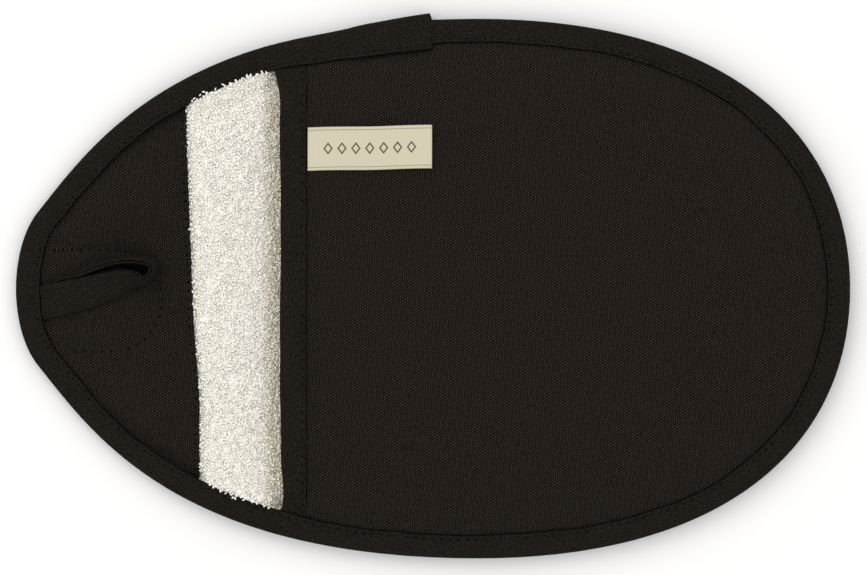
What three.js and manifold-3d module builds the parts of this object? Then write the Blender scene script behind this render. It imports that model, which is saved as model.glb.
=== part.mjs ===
// Oven mitt: an egg-shaped padded mitt with a pocket for the whole hand, lying on its back.
// Millimetres, +Z up. The origin is on the flat back face, midway along the length and on the
// line of symmetry. The round pocket end is at +X, and the tip with its hanging loop is at -X.
import * as THREE from "three";
import { LoftGeometry } from "three/addons/geometries/LoftGeometry.js";
import { mergeGeometries, mergeVertices } from "three/addons/utils/BufferGeometryUtils.js";
import Module from "manifold-3d";

const wasm = await Module();
wasm.setup();

// Outline
const LENGTH = 300;
const WIDTH = 194;
// Half outline from the tip to the round end, in half lengths and half widths: three cubic
// curves, for the blunt tip, the long flank and the round end.
const HALF_OUTLINE = [
  [-1, 0], [-1, 0.066], [-0.992, 0.199], [-0.946, 0.287],
  [-0.82, 0.529], [-0.618, 1], [0.108, 1],
  [0.712, 1], [1, 0.569], [1, 0],
];
const CHORDS = [4, 11, 13]; // straight chords that each of the three curves is cut into

// Cloth, wadding and tape
const GAP = 0.3; // air between neighbouring pieces
const TAPE = 0.8; // thickness of the binding tape
const CANVAS = { open: 0.8, pinched: 0.6 }; // thickness in the open pad, and inside the binding
const BACK_WADDING = { open: 3, pinched: 0.5 };
const FRONT_WADDING = { open: 1.4, pinched: 0.5 };
const TERRY = { open: 1.8, pinched: 0.6 };
const FACING = 0.8;
const THREAD = 0.5;

// Edge binding
const BINDING_WIDTH = 8.3;
const BINDING_CHAMFER = 0.5;
const STITCH_INSET = 1.3; // from a binding's or a facing's edge to its stitch line
const LAP_X = -1; // where the binding's turned end laps over its start, on the +Y flank
const LAP_STEP = 0.9;
const LAP_LENGTH = 22;

// Pocket
const OPEN_TIP = 95.3; // from the tip to the pocket mouth
const MOUTH_TAPE_WIDTH = 9.4;
const POCKET_GAP = 1.4; // between the two pads where they are bound together
const POCKET_BOW = 4.5; // how much further the pocket front stands up in the middle
const BOW_SPAN = 0.45; // share of the way to the middle over which it rises
const SWELL_SPAN = 0.1; // share of the way to the middle over which a pinched pad fills out
const BACK_DEPTHS = [0, SWELL_SPAN]; // rings of a flat pad, as shares of the way to the middle
const FRONT_DEPTHS = [0, SWELL_SPAN / 2, SWELL_SPAN, 0.17, 0.25, 0.34, BOW_SPAN];

// Tip
const FACING_LENGTH = 63.7; // from the tip to the facing's turned edge
const FACING_LEAN = THREE.MathUtils.degToRad(2.2);
const POUCH_REACH = 34.5; // from the tip to the middle of the stitched pouch's round end
const POUCH_Y = -4.3;
const POUCH_RADIUS = 18.2;
const MAGNET_RADIUS = 12.5;
const MAGNET_THICKNESS = 2.4; // less than the open wadding that it lies in

// Hanging loop: one folded length of tape with both ends at the tip
const LOOP_WIDTH = 9.3;
const LOOP_TAPE = 0.6;
const LOOP_LENGTH = 42; // from its ends to the outside of its bend, along the lean
const LOOP_EYE = 6.2; // height between the middles of the two legs
const LOOP_LEAN = THREE.MathUtils.degToRad(15);
const LOOP_ROOT_Y = -4.4;
const LOOP_STEPS = 26;

// Label
const LABEL_LENGTH = 44.4;
const LABEL_WIDTH = 15.5;
const LABEL_THICKNESS = 0.5;
const LABEL_Y = 49.9;
const LABEL_LEAN = THREE.MathUtils.degToRad(1.15);

const FAR = 2 * LENGTH; // longer than anything here, for cutting blocks
const TIP_X = -LENGTH / 2;
const MIDDLE_X = (HALF_OUTLINE[6][0] * LENGTH) / 2; // the widest place
const MOUTH_X = TIP_X + OPEN_TIP;
const INNER_EDGE = BINDING_WIDTH + GAP;

const FINISHES = {
  canvas: { color: 0x24201e, roughness: 0.95, metalness: 0 },
  tape: { color: 0x2a2624, roughness: 0.85, metalness: 0 },
  terry: { color: 0xd8d2c6, roughness: 1, metalness: 0 },
  wadding: { color: 0xeeeae0, roughness: 1, metalness: 0 },
  label: { color: 0xd9cfba, roughness: 0.9, metalness: 0 },
  thread: { color: 0x1b1918, roughness: 0.7, metalness: 0 },
  magnet: { color: 0x9a9c9e, roughness: 0.35, metalness: 1 },
};

const mitt = new THREE.Group();

function addPiece(name, geometry, finish) {
  const mesh = new THREE.Mesh(geometry, new THREE.MeshStandardMaterial(FINISHES[finish]));
  mesh.name = name;
  mitt.add(mesh);
}

// Solids that are cut or joined

function toSolid(geometry) {
  geometry.deleteAttribute("normal");
  geometry.deleteAttribute("uv");
  const merged = mergeVertices(geometry);
  return new wasm.Manifold(new wasm.Mesh({
    numProp: 3,
    vertProperties: merged.attributes.position.array,
    triVerts: new Uint32Array(merged.index.array),
  }));
}

function toGeometry(solid) {
  const mesh = solid.getMesh();
  const geometry = new THREE.BufferGeometry();
  geometry.setAttribute("position", new THREE.BufferAttribute(mesh.vertProperties, 3));
  geometry.setIndex(new THREE.BufferAttribute(mesh.triVerts, 1));
  geometry.computeVertexNormals();
  return geometry;
}

// A block between two X values, and between two Y values where they are given.
function block(x0, x1, y0 = -FAR, y1 = FAR) {
  const box = new THREE.BoxGeometry(x1 - x0, y1 - y0, FAR);
  return box.translate((x0 + x1) / 2, (y0 + y1) / 2, 0);
}

// A tall prism over a flat outline.
function prism(points) {
  const box = new THREE.ExtrudeGeometry(new THREE.Shape(points), { depth: FAR, bevelEnabled: false });
  return box.translate(0, 0, -FAR / 2);
}

// Outline stations, counterclockwise from the tip, each with its outward direction

function makeStations() {
  const half = [];
  CHORDS.forEach((chords, i) => {
    const corners = HALF_OUTLINE.slice(3 * i, 3 * i + 4);
    const handles = corners.map(([x, y]) => new THREE.Vector2((x * LENGTH) / 2, (-y * WIDTH) / 2));
    const curve = new THREE.CubicBezierCurve(...handles);
    for (let k = 0; k < chords; k += 1) {
      const tangent = curve.getTangent(k / chords);
      half.push({ point: curve.getPoint(k / chords), outward: new THREE.Vector2(tangent.y, -tangent.x) });
    }
  });
  const roundEnd = { point: new THREE.Vector2(LENGTH / 2, 0), outward: new THREE.Vector2(1, 0) };
  const mirrored = half.slice(1).reverse().map(({ point, outward }) => ({
    point: new THREE.Vector2(point.x, -point.y),
    outward: new THREE.Vector2(outward.x, -outward.y),
  }));
  return [...half, roundEnd, ...mirrored];
}

const stations = makeStations();

function insetOutline(inset) {
  return stations.map(({ point, outward }) => point.clone().addScaledVector(outward, -inset));
}

// The binding's inner edge drawn in towards the middle: depth 0 is the edge, 1 the middle.
function depthRing(depth, z) {
  return insetOutline(BINDING_WIDTH).map((p) => new THREE.Vector3(
    THREE.MathUtils.lerp(p.x, MIDDLE_X, depth),
    p.y * (1 - depth),
    z,
  ));
}

// The layers of the mitt, as [bottom, top] at a depth

function layersAt(depth) {
  const swell = Math.min(1, depth / SWELL_SPAN);
  const rise = Math.sin((Math.PI / 2) * Math.min(1, depth / BOW_SPAN));
  const layers = {};
  let z = (1 - swell) * (TAPE + GAP);
  const lay = (name, cloth, gapAbove) => {
    const thickness = THREE.MathUtils.lerp(cloth.pinched, cloth.open, swell);
    layers[name] = [z, z + thickness];
    z += thickness + gapAbove;
  };
  lay("back_canvas", CANVAS, GAP);
  lay("back_wadding", BACK_WADDING, GAP);
  lay("back_terry", TERRY, POCKET_GAP + rise * POCKET_BOW);
  lay("front_terry", TERRY, GAP);
  lay("front_wadding", FRONT_WADDING, GAP);
  lay("front_canvas", CANVAS, GAP);
  return layers;
}

// A flat lid over a ring, facing up or down.
function lid(ring, facesUp) {
  const flat = new THREE.ShapeGeometry(new THREE.Shape(ring)).translate(0, 0, ring[0].z);
  if (!facesUp) flat.index.array.reverse();
  return flat;
}

// A closed sheet between two heights that follow the depth, out to the inside of the binding.
function sheet(depths, bottom, top) {
  const rim = (z) => insetOutline(TAPE + GAP).map((p) => new THREE.Vector3(p.x, p.y, z));
  const sections = [
    ...[...depths].reverse().map((depth) => depthRing(depth, bottom(depth))),
    rim(bottom(0)),
    rim(top(0)),
    ...depths.map((depth) => depthRing(depth, top(depth))),
  ];
  return toSolid(mergeGeometries([
    new LoftGeometry(sections),
    lid(sections[0], false),
    lid(sections[sections.length - 1], true),
  ]));
}

function layer(name, depths) {
  return sheet(depths, (depth) => layersAt(depth)[name][0], (depth) => layersAt(depth)[name][1]);
}

// A sheet that lies on top of a layer, with a gap under it.
function sheetOn(name, depths, lift, thickness) {
  const bottom = (depth) => layersAt(depth)[name][1] + lift;
  return sheet(depths, bottom, (depth) => bottom(depth) + thickness);
}

// Back pad

const magnetX = TIP_X + POUCH_REACH;
const magnetHole = new THREE.CylinderGeometry(MAGNET_RADIUS + GAP, MAGNET_RADIUS + GAP, FAR, 24)
  .rotateX(Math.PI / 2)
  .translate(magnetX, POUCH_Y, 0);
const backWadding = layer("back_wadding", BACK_DEPTHS).subtract(toSolid(magnetHole));
const waddingMiddle = layersAt(SWELL_SPAN).back_wadding;
const magnet = new THREE.CylinderGeometry(MAGNET_RADIUS, MAGNET_RADIUS, MAGNET_THICKNESS, 24)
  .rotateX(Math.PI / 2)
  .translate(magnetX, POUCH_Y, (waddingMiddle[0] + waddingMiddle[1]) / 2);

addPiece("back_canvas", toGeometry(layer("back_canvas", BACK_DEPTHS)), "canvas");
addPiece("back_wadding", toGeometry(backWadding), "wadding");
addPiece("back_terry", toGeometry(layer("back_terry", BACK_DEPTHS)), "terry");
addPiece("tip_magnet", magnet, "magnet");

// Facing over the tip, with its turned edge leaning a little, and its stitching

function beforeFacingEdge(inset) {
  const edge = block(-FAR, 0).rotateZ(FACING_LEAN);
  return toSolid(edge.translate(TIP_X + FACING_LENGTH - inset, 0, 0));
}

const facing = sheetOn("back_terry", BACK_DEPTHS, GAP, FACING).intersect(beforeFacingEdge(0));
addPiece("tip_facing", toGeometry(facing), "canvas");

const insideBinding = toSolid(prism(insetOutline(INNER_EDGE)));
const facingLift = GAP + FACING + GAP;
const threadOnFacing = sheetOn("back_terry", BACK_DEPTHS, facingLift, THREAD).intersect(insideBinding);
const facingStitching = threadOnFacing
  .intersect(beforeFacingEdge(STITCH_INSET))
  .subtract(beforeFacingEdge(STITCH_INSET + THREAD));
addPiece("facing_stitching", toGeometry(facingStitching), "thread");

// The pouch stitching runs out from the binding, round the magnet and back.
function pouch(radius) {
  const outline = new THREE.Shape()
    .moveTo(2 * TIP_X, POUCH_Y - radius)
    .lineTo(magnetX, POUCH_Y - radius)
    .absarc(magnetX, POUCH_Y, radius, -Math.PI / 2, Math.PI / 2)
    .lineTo(2 * TIP_X, POUCH_Y + radius);
  return toSolid(prism(outline.getPoints()));
}

const pouchStitching = threadOnFacing
  .intersect(pouch(POUCH_RADIUS + THREAD / 2))
  .subtract(pouch(POUCH_RADIUS - THREAD / 2));
addPiece("magnet_stitching", toGeometry(pouchStitching), "thread");

// Pocket front, cut off at the mouth inside the fold of the mouth binding

const pastMouthFold = toSolid(block(MOUTH_X + TAPE + GAP, FAR));
addPiece("front_terry", toGeometry(layer("front_terry", FRONT_DEPTHS).intersect(pastMouthFold)), "terry");
addPiece("front_wadding", toGeometry(layer("front_wadding", FRONT_DEPTHS).intersect(pastMouthFold)), "wadding");
addPiece("front_canvas", toGeometry(layer("front_canvas", FRONT_DEPTHS).intersect(pastMouthFold)), "canvas");

// Mouth binding: a tape folded round the edge of the pocket front, from flank to flank

function aroundFront(clearance) {
  return sheet(
    FRONT_DEPTHS,
    (depth) => layersAt(depth).front_terry[0] - clearance,
    (depth) => layersAt(depth).front_canvas[1] + clearance,
  );
}

const mouthBinding = aroundFront(GAP + TAPE)
  .intersect(toSolid(block(MOUTH_X, MOUTH_X + MOUTH_TAPE_WIDTH)))
  .intersect(insideBinding)
  .subtract(aroundFront(GAP).intersect(toSolid(block(MOUTH_X + TAPE, FAR))));
addPiece("mouth_binding", toGeometry(mouthBinding), "tape");

const mouthStitchX = MOUTH_X + MOUTH_TAPE_WIDTH - STITCH_INSET;
const mouthStitching = sheetOn("front_canvas", FRONT_DEPTHS, GAP + TAPE + GAP, THREAD)
  .intersect(toSolid(block(mouthStitchX - THREAD, mouthStitchX)))
  .intersect(insideBinding);
addPiece("mouth_stitching", toGeometry(mouthStitching), "thread");

// Edge binding: a tape folded round the whole edge. It is thin round the open tip and thick
// round the pocket, and steps up where its turned end laps over its start.

const bindingHeights = (() => {
  const { back_terry: backTerry, front_canvas: frontCanvas } = layersAt(0);
  return { tip: backTerry[1] + facingLift + TAPE, pocket: frontCanvas[1] + GAP + TAPE };
})();

function bindingStations() {
  const longestChord = Math.max(...stations.map(({ point }, i) => (
    point.distanceTo(stations[(i + 1) % stations.length].point)
  )));
  const height = (x) => THREE.MathUtils.mapLinear(
    THREE.MathUtils.clamp(x, MOUTH_X - 3 * longestChord, MOUTH_X - longestChord),
    MOUTH_X - 3 * longestChord,
    MOUTH_X - longestChord,
    bindingHeights.tip,
    bindingHeights.pocket,
  );
  const flank = stations.filter(({ point }) => point.y > 0);
  const toLap = ({ point }) => Math.abs(point.x - LAP_X);
  const lapEnd = flank.reduce((best, next) => (toLap(next) < toLap(best) ? next : best));
  const lapped = ({ point }) => (
    point.y > 0 && point.x <= lapEnd.point.x && point.x > lapEnd.point.x - LAP_LENGTH
  );
  const all = [];
  stations.forEach((station, i) => {
    const plain = { ...station, top: height(station.point.x), lap: 0 };
    if (station === lapEnd) {
      const before = stations[i - 1];
      const share = GAP / before.point.distanceTo(station.point);
      const point = station.point.clone().lerp(before.point, share);
      const outward = station.outward.clone().lerp(before.outward, share);
      all.push({ ...plain, point, outward });
    }
    all.push(lapped(station) ? { ...plain, lap: LAP_STEP } : plain);
  });
  return [...all, all[0]];
}

// Sweeps a profile of [inset, height] points, made for each station, round the outline.
function sweepEdge(profile) {
  const sections = bindingStations().map((station) => profile(station).map(([inset, z]) => {
    const p = station.point.clone().addScaledVector(station.outward, -inset);
    return new THREE.Vector3(p.x, p.y, z);
  }));
  return new LoftGeometry(sections);
}

const bindingProfile = ({ top, lap }) => [
  [BINDING_WIDTH, top + lap],
  [BINDING_CHAMFER - lap, top + lap],
  [-lap, top + lap - BINDING_CHAMFER],
  [-lap, BINDING_CHAMFER],
  [BINDING_CHAMFER - lap, 0],
  [BINDING_WIDTH, 0],
  [BINDING_WIDTH, TAPE],
  [TAPE, TAPE],
  [TAPE, top - TAPE],
  [BINDING_WIDTH, top - TAPE],
];
addPiece("edge_binding", sweepEdge(bindingProfile), "tape");

const stitchProfile = ({ top, lap }) => {
  const inner = BINDING_WIDTH - STITCH_INSET;
  const bottom = top + lap + GAP;
  return [
    [inner, bottom + THREAD],
    [inner - THREAD, bottom + THREAD],
    [inner - THREAD, bottom],
    [inner, bottom],
  ];
};
addPiece("edge_stitching", sweepEdge(stitchProfile), "thread");

// Hanging loop: its lower leg lies over the facing, and its upper leg comes back above it

function facingTop(x) {
  const innerTip = TIP_X + BINDING_WIDTH;
  const depth = THREE.MathUtils.clamp((x - innerTip) / (MIDDLE_X - innerTip), 0, 1);
  return layersAt(depth).back_terry[1] + GAP + FACING;
}

// Where an inset outline crosses a Y value on the tip's side.
function tipSideX(inset, y) {
  const ring = insetOutline(inset);
  const next = ring.findIndex((p) => p.y < -Math.abs(y));
  const [a, b] = [ring[next - 1], ring[next]];
  return THREE.MathUtils.mapLinear(-Math.abs(y), a.y, b.y, a.x, b.x);
}

const loopOuterY = Math.abs(LOOP_ROOT_Y) + LOOP_WIDTH / 2;
const loopRootX = tipSideX(INNER_EDGE, loopOuterY) + LOOP_TAPE / 2;
const overThread = GAP + THREAD + GAP + LOOP_TAPE / 2;

function loopRoute() {
  const rampEnd = THREE.MathUtils.lerp(TIP_X + BINDING_WIDTH, MIDDLE_X, SWELL_SPAN) - loopRootX;
  const rest = facingTop(MIDDLE_X) + overThread;
  const bend = LOOP_EYE / 2;
  const rootLow = facingTop(loopRootX) + GAP + LOOP_TAPE / 2;
  const rootHigh = rootLow + LOOP_TAPE + GAP;
  const points = [
    [0, rootLow],
    [rampEnd, rest],
    [LOOP_LENGTH - 2 * bend, rest],
    [LOOP_LENGTH - 0.3 * bend, rest + 0.3 * bend],
    [LOOP_LENGTH, rest + bend],
    [LOOP_LENGTH - 0.3 * bend, rest + 1.7 * bend],
    [LOOP_LENGTH - 2 * bend, rest + LOOP_EYE],
    [rampEnd + bend, rest + LOOP_EYE],
    [rampEnd / 2, (rootHigh + rest + LOOP_EYE) / 2],
    [0, rootHigh],
  ];
  return new THREE.CatmullRomCurve3(points.map(([x, z]) => new THREE.Vector3(x, 0, z)));
}

function hangingLoop() {
  const route = loopRoute();
  const across = new THREE.Vector3(0, 1, 0);
  const sections = [];
  for (let k = 0; k <= LOOP_STEPS; k += 1) {
    const p = route.getPointAt(k / LOOP_STEPS);
    const through = route.getTangentAt(k / LOOP_STEPS).cross(across);
    const middle = new THREE.Vector3(
      loopRootX + p.x,
      LOOP_ROOT_Y + p.x * Math.tan(LOOP_LEAN),
      p.z,
    );
    sections.push([[1, -1], [1, 1], [-1, 1], [-1, -1]].map(([side, face]) => (
      middle.clone()
        .addScaledVector(across, (side * LOOP_WIDTH) / 2)
        .addScaledVector(through, (face * LOOP_TAPE) / 2)
    )));
  }
  return new LoftGeometry(sections, { capStart: true, capEnd: true });
}

addPiece("hanging_loop", hangingLoop(), "tape");

// Label: it lies on the canvas with one end at the mouth binding

const labelX = MOUTH_X + MOUTH_TAPE_WIDTH + GAP;
const labelBlank = block(0, LABEL_LENGTH, -LABEL_WIDTH / 2, LABEL_WIDTH / 2)
  .rotateZ(LABEL_LEAN)
  .translate(labelX + (LABEL_WIDTH / 2) * Math.sin(LABEL_LEAN), LABEL_Y, 0);
const label = sheetOn("front_canvas", FRONT_DEPTHS, GAP, LABEL_THICKNESS)
  .intersect(toSolid(labelBlank));
addPiece("label", toGeometry(label), "label");

export default mitt;
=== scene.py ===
import math

import bmesh
import bpy
import numpy as np
from bpy.props import FloatProperty, FloatVectorProperty, IntProperty, PointerProperty
from mathutils import Matrix, Vector
from mathutils.bvhtree import BVHTree
from mathutils.geometry import interpolate_bezier
from mathutils.kdtree import KDTree


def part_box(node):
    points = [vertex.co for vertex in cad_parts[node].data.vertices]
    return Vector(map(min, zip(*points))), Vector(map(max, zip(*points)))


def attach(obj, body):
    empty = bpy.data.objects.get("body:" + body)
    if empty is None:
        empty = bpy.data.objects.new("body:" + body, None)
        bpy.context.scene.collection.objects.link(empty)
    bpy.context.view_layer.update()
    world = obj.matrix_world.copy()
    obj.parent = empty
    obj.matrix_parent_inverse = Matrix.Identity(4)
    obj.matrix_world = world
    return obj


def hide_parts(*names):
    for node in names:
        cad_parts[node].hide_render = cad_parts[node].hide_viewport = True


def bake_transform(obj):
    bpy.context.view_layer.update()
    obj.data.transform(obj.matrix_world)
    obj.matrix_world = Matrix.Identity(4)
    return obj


bl_info = {
    "name": "Oven Mitt",
    "version": (1, 0, 0),
    "blender": (4, 5, 0),
    "location": "3D View > Sidebar > Mitt",
    "description": "Makes a padded pocket mitt of canvas, terry and tape over its measured frame",
    "category": "Add Mesh",
}

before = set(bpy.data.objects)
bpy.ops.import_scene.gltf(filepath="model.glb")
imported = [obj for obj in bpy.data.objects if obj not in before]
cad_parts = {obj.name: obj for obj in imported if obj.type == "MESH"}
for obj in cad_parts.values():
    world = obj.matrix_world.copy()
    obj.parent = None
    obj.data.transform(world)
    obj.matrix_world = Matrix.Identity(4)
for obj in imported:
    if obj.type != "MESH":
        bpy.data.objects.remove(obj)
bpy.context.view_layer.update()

MM = 0.001
DOWN = Vector((0, 0, -1))
UP = Vector((0, 0, 1))
GAP = 0.3 * MM  # air that the frame keeps between neighbouring pieces
RAY_START = 0.2  # height over the mitt that rays are cast down from, or up from below it

# Half outline from the tip to the round end, in half lengths and half widths: three cubic
# curves, for the blunt tip, the long flank and the round end.
HALF_OUTLINE = (
    ((-1, 0), (-1, 0.066), (-0.992, 0.199), (-0.946, 0.287)),
    ((-0.946, 0.287), (-0.82, 0.529), (-0.618, 1), (0.108, 1)),
    ((0.108, 1), (0.712, 1), (1, 0.569), (1, 0)),
)
EDGE_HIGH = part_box("edge_binding")[1]
MOUTH_LOW, MOUTH_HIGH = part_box("mouth_binding")
# Where the pocket front's layers are cut, and the side that is cut off.
MOUTH_TRIM = (Vector((MOUTH_LOW.x, 0, 0)) + Vector((1.2 * MM, 0, 0)), Vector((-1, 0, 0)))
STRIP_ENDS = -92 * MM, -51.5 * MM  # X of the open terry strip, with some to spare
STRIP_REACH = 92 * MM
LAYER_INSET = 2.6 * MM  # the layers' edges stand clear of the binding's rounded fold
# Columns of the edge binding's section.
UPPER_LEG = range(11, 23)
UPPER_STITCHES = slice(11, 17)
LOWER_LEG = slice(-13, -1)
TURNED_EDGE = (18, 19)  # of both bindings, down the turned edge, which is painted dark as its own shade
RIM_POINTS = 1040
LAP_X = -1 * MM  # where the edge tape's turned end laps over its start, on the +Y flank
FACING_X = -86.4 * MM  # of the facing's turned edge on the line of symmetry
FACING_LEAN = math.radians(2.2)
POUCH_CENTRE = Vector((-115.5, -4.3)) * MM
POUCH_RADIUS = 18.2 * MM
POUCH_STARTS = -136.2 * MM, -131.6 * MM  # X of the D-shaped line's ends, on +Y and on -Y
SEAM_MARGIN = 9 * MM  # how far in from the outline the layers are held by the binding
LABEL_LOW, LABEL_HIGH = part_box("label")
LABEL_LENGTH = LABEL_HIGH.x - LABEL_LOW.x
LABEL_DEPTH = 15.5 * MM
LABEL_Y = 49.9 * MM  # of its middle, at the mouth
LABEL_LEAN = math.radians(1.15)
EDGE_STITCHES = 250  # round the whole outline, so that tape, dimples and thread agree
STITCH_LIFT = 0.02 * MM  # of the thread's middle over the tape
CANVAS_SKEW = math.radians(-2.5)  # of the canvas's threads from the mitt's length
TWILL_TURN = math.radians(56)


# Sizes and colours


def linear(code):
    """An sRGB hex colour as linear red, green and blue."""
    parts = [int(code[k : k + 2], 16) / 255 for k in (1, 3, 5)]
    return tuple(c / 12.92 if c <= 0.04045 else ((c + 0.055) / 1.055) ** 2.4 for c in parts)


def dimmed(shown, share):
    """A colour made darker or lighter, with its alpha."""
    return (*(c * share for c in shown), 1)


def length(name, description, default):
    """A length in metres with its default in millimetres."""
    return FloatProperty(
        name=name,
        description=description,
        default=default * MM,
        min=0.0,
        precision=5,
        subtype="DISTANCE",
        unit="LENGTH",
    )


def colour(name, description, code):
    return FloatVectorProperty(
        name=name,
        description=description,
        default=linear(code),
        size=3,
        min=0.0,
        max=1.0,
        subtype="COLOR",
    )


class MittSizes(bpy.types.PropertyGroup):
    """Sizes of the mitt's cloth, tape and stitches"""

    canvas_thickness: length("Canvas", "Thickness of the canvas", 0.8)
    canvas_warp: length("Warp", "Distance between the canvas's upright threads", 0.805)
    canvas_weft: length("Weft", "Distance between the canvas's cross threads", 0.511)
    tape_thickness: length("Tape", "Thickness of the binding tape", 0.8)
    tape_twill: length("Twill", "Distance between the tape's twill lines", 0.45)
    binding_width: length("Edge binding", "Width of the edge binding's legs", 8.3)
    lap_width: length("Lapped width", "Width of the edge binding at its lapped end", 11.9)
    lap_rise: length("Lap", "How far the lapped end stands up", 0.9)
    fold_depth: length("Edge fold", "Depth of the edge binding's rounded fold", 3.0)
    stitch_pitch: length("Stitch pitch", "Distance between needle holes", 3.2)
    stitch_inset: length("Stitch inset", "From a tape's edge to its stitches", 1.5)
    thread_width: length("Thread", "Thickness of the sewing thread", 0.42)
    dimple: length("Dimple", "How deep the stitches pull the tape in", 0.5)
    pile_height: length("Pile", "Height of the terry's loops", 1.25)
    pile_pitch: length("Pile pitch", "Distance between the terry's loops", 0.9)
    yarn: length("Yarn", "Thickness of the terry's yarn", 0.58)
    loop_width: length("Loop width", "Width of the hanging loop's tape", 12.0)
    loop_thickness: length("Loop thickness", "Thickness of the hanging loop's folded tape", 1.8)
    cloth_cell: length("Cell", "Size of the squares in the cloth's mesh", 2.6)
    pressure: FloatProperty(
        name="Fill pressure",
        description="How hard the wadding pushes the canvas out",
        default=2.2,
        min=0.0,
    )
    surplus: FloatProperty(
        name="Surplus",
        description="How much longer the canvas is cut than its seams",
        default=0.006,
        min=0.0,
        max=0.1,
        subtype="FACTOR",
    )
    cloth_steps: IntProperty(
        name="Cloth steps",
        description="Steps that the canvas takes to settle",
        default=18,
        min=2,
    )


class MittColours(bpy.types.PropertyGroup):
    """Colours of the mitt's cloth and thread"""

    # The dark and light colours of canvas and tape are ramped by the weave's height: painted shade
    # in the hollows, painted light on the raised threads and ribs.
    canvas: colour("Canvas", "Black cotton canvas", "#0a0705")
    canvas_light: colour("Canvas threads", "The canvas's raised threads", "#37312c")
    tape: colour("Tape", "Black twill tape", "#0a0807")
    tape_light: colour("Tape ribs", "The tape's raised ribs", "#29241f")
    terry: colour("Terry", "Unbleached terry yarn", "#fdfbf4")
    terry_deep: colour("Terry shade", "Terry yarn lying deeper", "#f7f4ea")
    # Painted shade: the terry's colour in the shade of the pocket's mouth.
    terry_mouth_shade: colour("Crushed terry", "Terry yarn in the shade of the mouth", "#cfc4ab")
    wadding: colour("Wadding", "Needled wadding", "#e2ded2")
    label: colour("Label", "Cream label ribbon", "#c4bda4")
    label_mark: colour("Label pattern", "Woven pattern of the label", "#55504a")
    thread: colour("Thread", "Black sewing thread", "#161311")
    plating: colour("Plating", "Nickel plating of the magnet", "#b9b7b0")


# Surfaces to lay pieces on


def surface_of_frame(name):
    """A CAD node's surface, to cast rays on."""
    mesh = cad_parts[name].data
    faces = [list(face.vertices) for face in mesh.polygons]
    return BVHTree.FromPolygons([v.co for v in mesh.vertices], faces)


def surface_of(name):
    """The finished surface of a piece, its modifiers included."""
    bpy.context.view_layer.update()
    return BVHTree.FromObject(bpy.data.objects[name], bpy.context.evaluated_depsgraph_get())


def top_of(surface, x, y, fallback=None):
    """Height of the surface's top over a point."""
    hit = surface.ray_cast(Vector((x, y, RAY_START)), DOWN)[0]
    if hit is not None:
        return hit.z
    return surface.find_nearest(Vector((x, y, 0.01)))[0].z if fallback is None else fallback


def underside_of(surface, x, y):
    """Height of the surface's underside over a point."""
    hit = surface.ray_cast(Vector((x, y, -RAY_START)), UP)[0]
    return surface.find_nearest(Vector((x, y, 0)))[0].z if hit is None else hit.z


# The outline


def run_lengths(points):
    """Distance along a run of points, at each of them."""
    return np.concatenate([[0], np.cumsum(np.linalg.norm(np.diff(points, axis=0), axis=1))])


def read_run(values, along, at):
    """A run's values, a row each, read at other distances along it."""
    return np.stack([np.interp(at, along, column) for column in np.transpose(values)], axis=1)


def ease(values, rounds):
    """Smooths an open run's values, its ends kept."""
    for _ in range(rounds):
        values[1:-1] = (values[:-2] + 2 * values[1:-1] + values[2:]) / 4
    return values


def smooth_run(values, reach):
    """Averages round a closed run, each with its neighbours out to reach."""
    total = np.zeros_like(values)
    for step in range(-reach, reach + 1):
        total += np.roll(values, step, axis=0)
    return total / (2 * reach + 1)


class Outline:
    """Evenly spaced points round the outline, from the tip by the -Y flank."""

    def __init__(self, count):
        half = []
        for curve in HALF_OUTLINE:
            knots = [Vector((x * EDGE_HIGH.x, y * EDGE_HIGH.y, 0)) for x, y in curve]
            half += [p.xy for p in interpolate_bezier(*knots, 400)[:-1]]
        far = [(p.x, -p.y) for p in half] + [(EDGE_HIGH.x, 0)]
        ring = np.array(far + [(p.x, p.y) for p in reversed(half)])
        along = run_lengths(ring)
        self.length = along[-1]
        self.count = count
        self.points = read_run(ring, along, np.arange(count) * self.length / count)
        ahead = np.roll(self.points, -1, axis=0) - np.roll(self.points, 1, axis=0)
        ahead /= np.linalg.norm(ahead, axis=1)[:, None]
        self.outward = np.stack([ahead[:, 1], -ahead[:, 0]], axis=1)
        self.tree = KDTree(count)
        for k, (x, y) in enumerate(self.points):
            self.tree.insert((x, y, 0), k)
        self.tree.balance()

    def inset(self, depth):
        """The outline's points moved in by a depth, or by one depth each."""
        return self.points - self.outward * np.reshape(depth, (-1, 1))

    def depth_at(self, x, y):
        """How far a point lies inside the outline."""
        k = self.tree.find((x, y, 0))[1]
        return float(np.dot(self.points[k] - (x, y), self.outward[k]))


RIM = Outline(RIM_POINTS)


def steps(low, high, x):
    """0 below low, 1 above high and smooth between."""
    t = np.clip((np.asarray(x, float) - low) / (high - low), 0, 1)
    return t * t * (3 - 2 * t)


def lap_ramp(first, last):
    """Rises from 0 to 1 between two X values on the lapped flank, and is 0 elsewhere."""
    x, y = RIM.points.T
    return np.where((y > 0) & (x < LAP_X), steps(first, last, x), 0.0)


def lap_shift():
    """How far the lapped tape strays outwards from the outline: it was pulled straight there."""
    x, y = RIM.points.T / MM
    stray = np.interp(-x, [1, 5, 12, 20, 31, 45, 60, 75], [1.7, 1.35, 0.7, 0, -0.6, -0.45, -0.1, 0])
    return np.where((y > 0) & (x < -1), stray, 0.0) * MM


def tape_widths(sizes):
    """Width of the edge binding's upper leg at each outline point."""
    k = np.arange(RIM.count) * 2 * math.pi / RIM.count
    sway = 0.16 * MM * (np.sin(7 * k + 1) + np.sin(17 * k + 2.2) + 0.6 * np.sin(41 * k))
    wider = (sizes.lap_width - sizes.binding_width) * lap_ramp(-84 * MM, LAP_X)
    return sizes.binding_width + 0.2 * MM + sway + wider


def past_tape(sizes):
    """A measure of how far a point lies past the edge binding's inner edge."""
    widths = tape_widths(sizes) - lap_shift()

    def measure(x, y):
        return RIM.depth_at(x, y) - widths[RIM.tree.find((x, y, 0))[1]]

    return measure


# Pieces


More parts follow.
